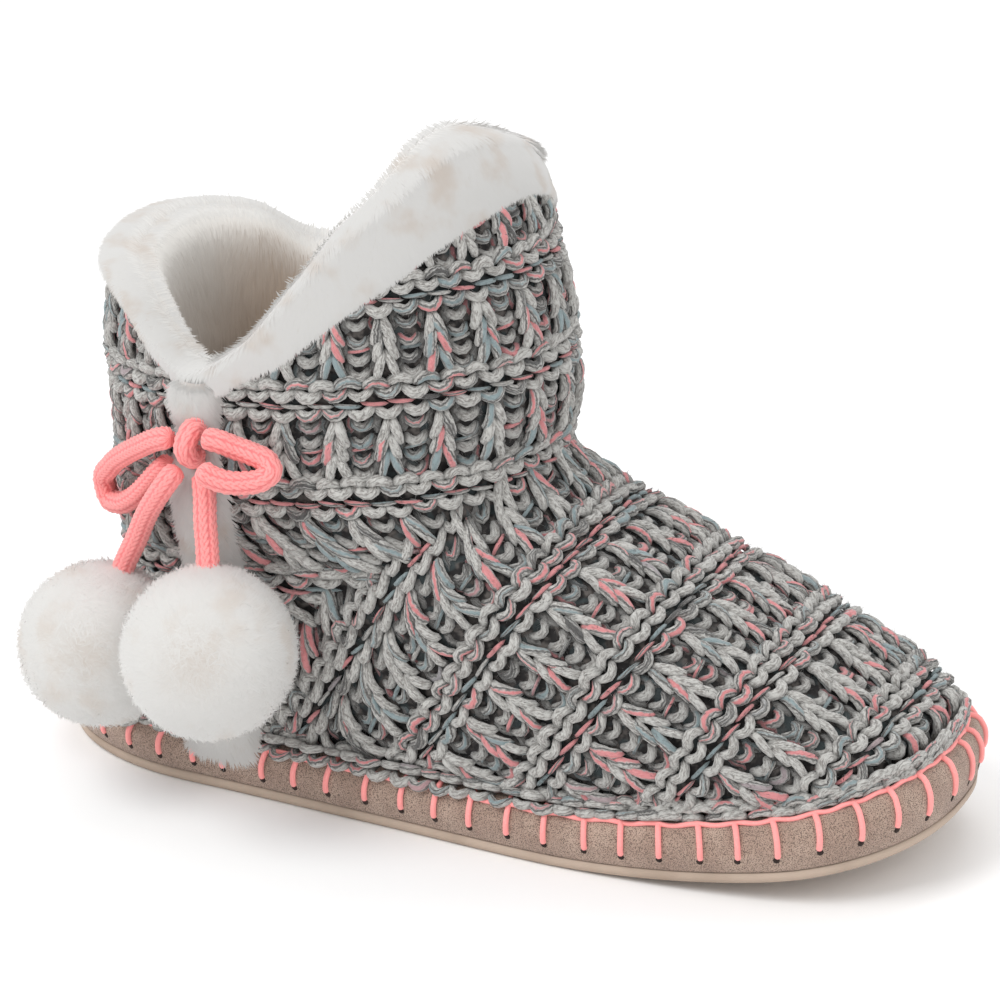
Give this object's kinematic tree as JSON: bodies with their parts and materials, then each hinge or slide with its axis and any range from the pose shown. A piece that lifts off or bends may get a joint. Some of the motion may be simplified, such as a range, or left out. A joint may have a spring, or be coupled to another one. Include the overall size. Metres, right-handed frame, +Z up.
{
  "type": "bootie slipper",
  "caption": "Ankle-high knitted bootie slipper for the right foot, with a fur cuff and placket, a cord bow with pompoms and a soft sole.",
  "frame": {"origin": "on the floor under the sole, half way between the heel end and the toe end, on the heel's centre line", "axes": "+X towards the toe, +Y towards the inner side of the foot, +Z up"},
  "size_m": [0.25, 0.1373, 0.182],
  "materials": {
    "tread": "matt, pale",
    "suede": "taupe brushed cloth",
    "lining": "cream pile lining",
    "knit": "marled chunky knit",
    "fur": "cream deep pile",
    "coral": "coral knitted cord"
  },
  "bodies": {
    "root": {"outsole": "tread", "midsole": "suede", "insole": "lining", "upper": "knit", "cuff": "fur", "placket": "fur", "bow_knot": "coral", "bow_loop_rear": "coral", "bow_loop_front": "coral", "bow_end_rear": "coral", "bow_end_front": "coral", "pompom_rear": "fur", "pompom_front": "fur"}
  },
  "joints": []
}
